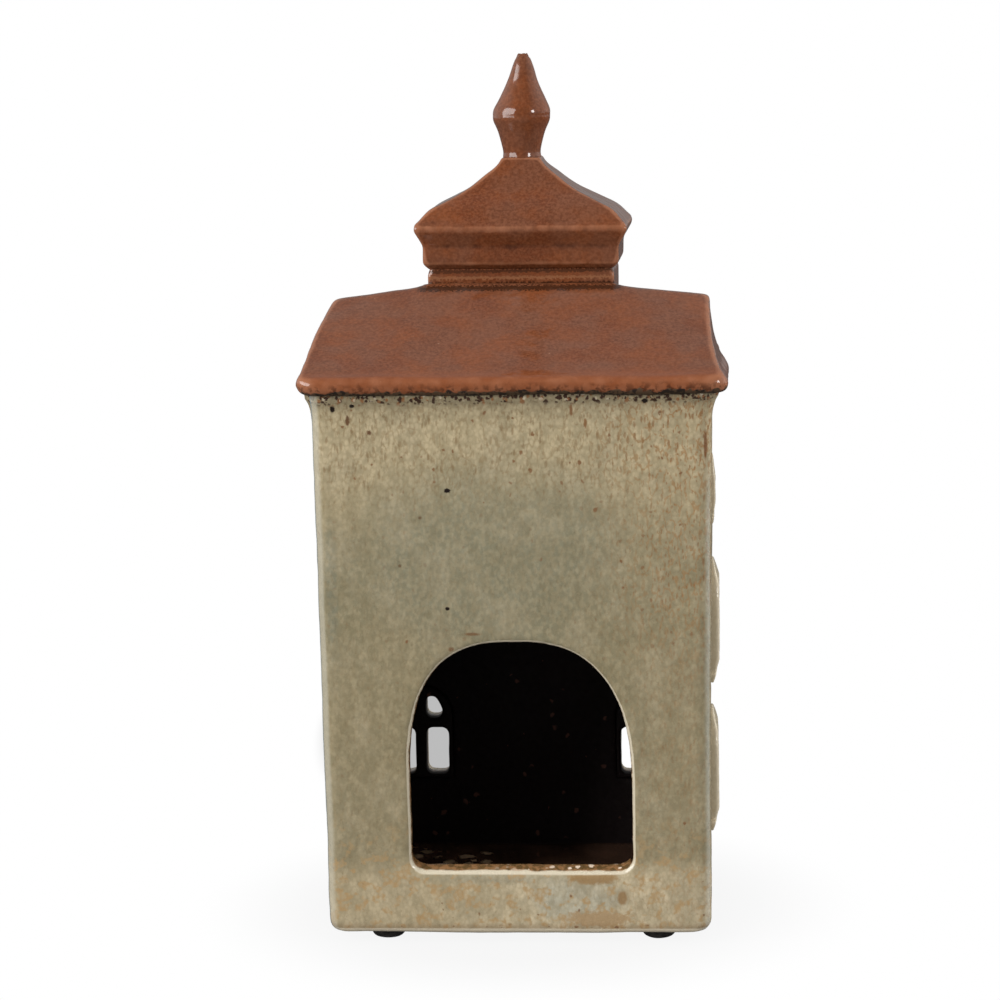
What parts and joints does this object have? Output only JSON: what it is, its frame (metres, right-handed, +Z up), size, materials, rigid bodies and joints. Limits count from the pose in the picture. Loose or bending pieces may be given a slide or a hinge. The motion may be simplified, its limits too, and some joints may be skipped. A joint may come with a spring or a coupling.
{
  "type": "tealight house",
  "caption": "Glazed ceramic house that holds a tealight, with an arched hatch at the back, pierced windows, a gable roof and a small tower with a pointed finial.",
  "frame": {"origin": "middle of the footprint at the bottom of the rubber feet", "axes": "+Z up, +Y towards the door side, -Y towards the side with the hatch, +X to the right when the hatch side is looked at"},
  "size_m": [0.1396, 0.111, 0.29],
  "materials": {
    "wall_glaze": "sage green reactive glaze, glossy",
    "inside_glaze": "dark brown glossy glaze",
    "trim_glaze": "pale cream glaze, glossy",
    "door_glaze": "red-brown glaze, glossy",
    "roof_glaze": "terracotta glaze, glossy",
    "foot_rubber": "matt black rubber"
  },
  "bodies": {
    "root": {"house_walls": "wall_glaze", "floor_slab": "inside_glaze", "foot_rear_left": "foot_rubber", "foot_rear_right": "foot_rubber", "foot_front_left": "foot_rubber", "foot_front_right": "foot_rubber", "ground_window_front_left": "trim_glaze", "ground_window_front_right": "trim_glaze", "ground_window_left": "trim_glaze", "ground_window_right": "trim_glaze", "upper_window_front_left": "trim_glaze", "upper_window_front_centre": "trim_glaze", "upper_window_front_right": "trim_glaze", "upper_window_left": "trim_glaze", "upper_window_right": "trim_glaze", "attic_window_front_left": "trim_glaze", "attic_window_front_centre": "trim_glaze", "attic_window_front_right": "trim_glaze", "attic_window_left": "trim_glaze", "attic_window_right": "trim_glaze", "door_step": "trim_glaze", "door_surround": "trim_glaze", "door_leaf": "door_glaze", "main_roof": "roof_glaze", "tower": "roof_glaze", "cupola_cap": "roof_glaze", "finial": "roof_glaze", "tower_window": "roof_glaze"}
  },
  "joints": []
}
